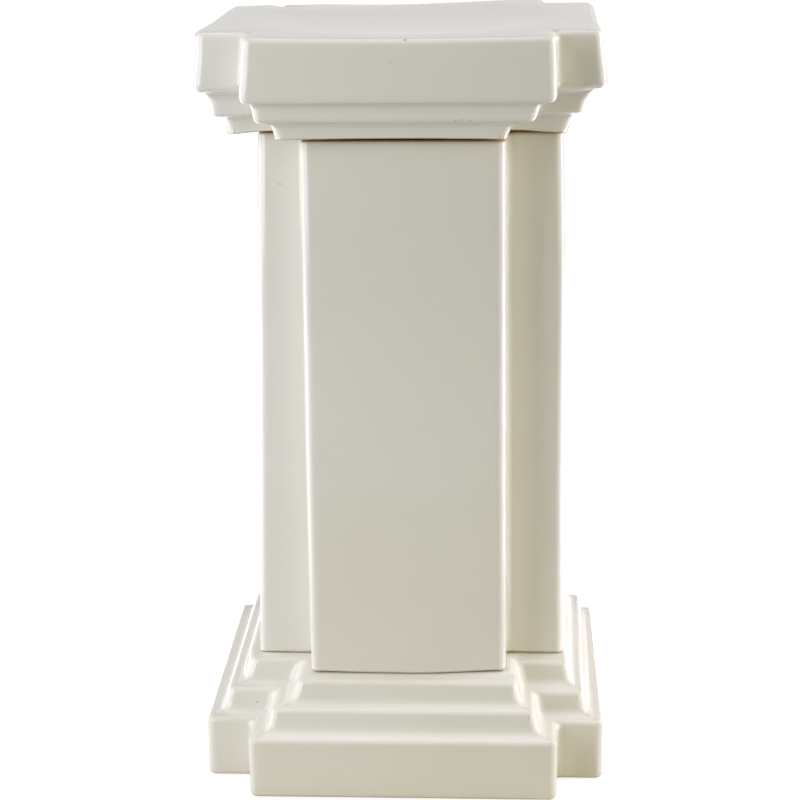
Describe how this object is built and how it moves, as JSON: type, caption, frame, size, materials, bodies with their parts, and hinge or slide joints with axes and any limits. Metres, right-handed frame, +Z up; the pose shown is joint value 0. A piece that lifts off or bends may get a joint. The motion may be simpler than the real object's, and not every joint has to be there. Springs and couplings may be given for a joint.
{
  "type": "plant stand",
  "caption": "Cream glazed ceramic pedestal plant stand: square column with notched corners, stepped base and matching stepped cap with a shallow dished top.",
  "frame": {"origin": "on the floor, under the middle of the base's foot rim", "axes": "+Z up along the column, +X to the right seen from the front, front face towards -Y"},
  "size_m": [0.3268, 0.3268, 0.61],
  "materials": {
    "base_glaze": "gloss cream glaze",
    "shaft_glaze": "gloss cream glaze",
    "cap_glaze": "gloss cream glaze"
  },
  "bodies": {
    "root": {"base": "base_glaze", "shaft": "shaft_glaze", "cap": "cap_glaze"}
  },
  "joints": []
}
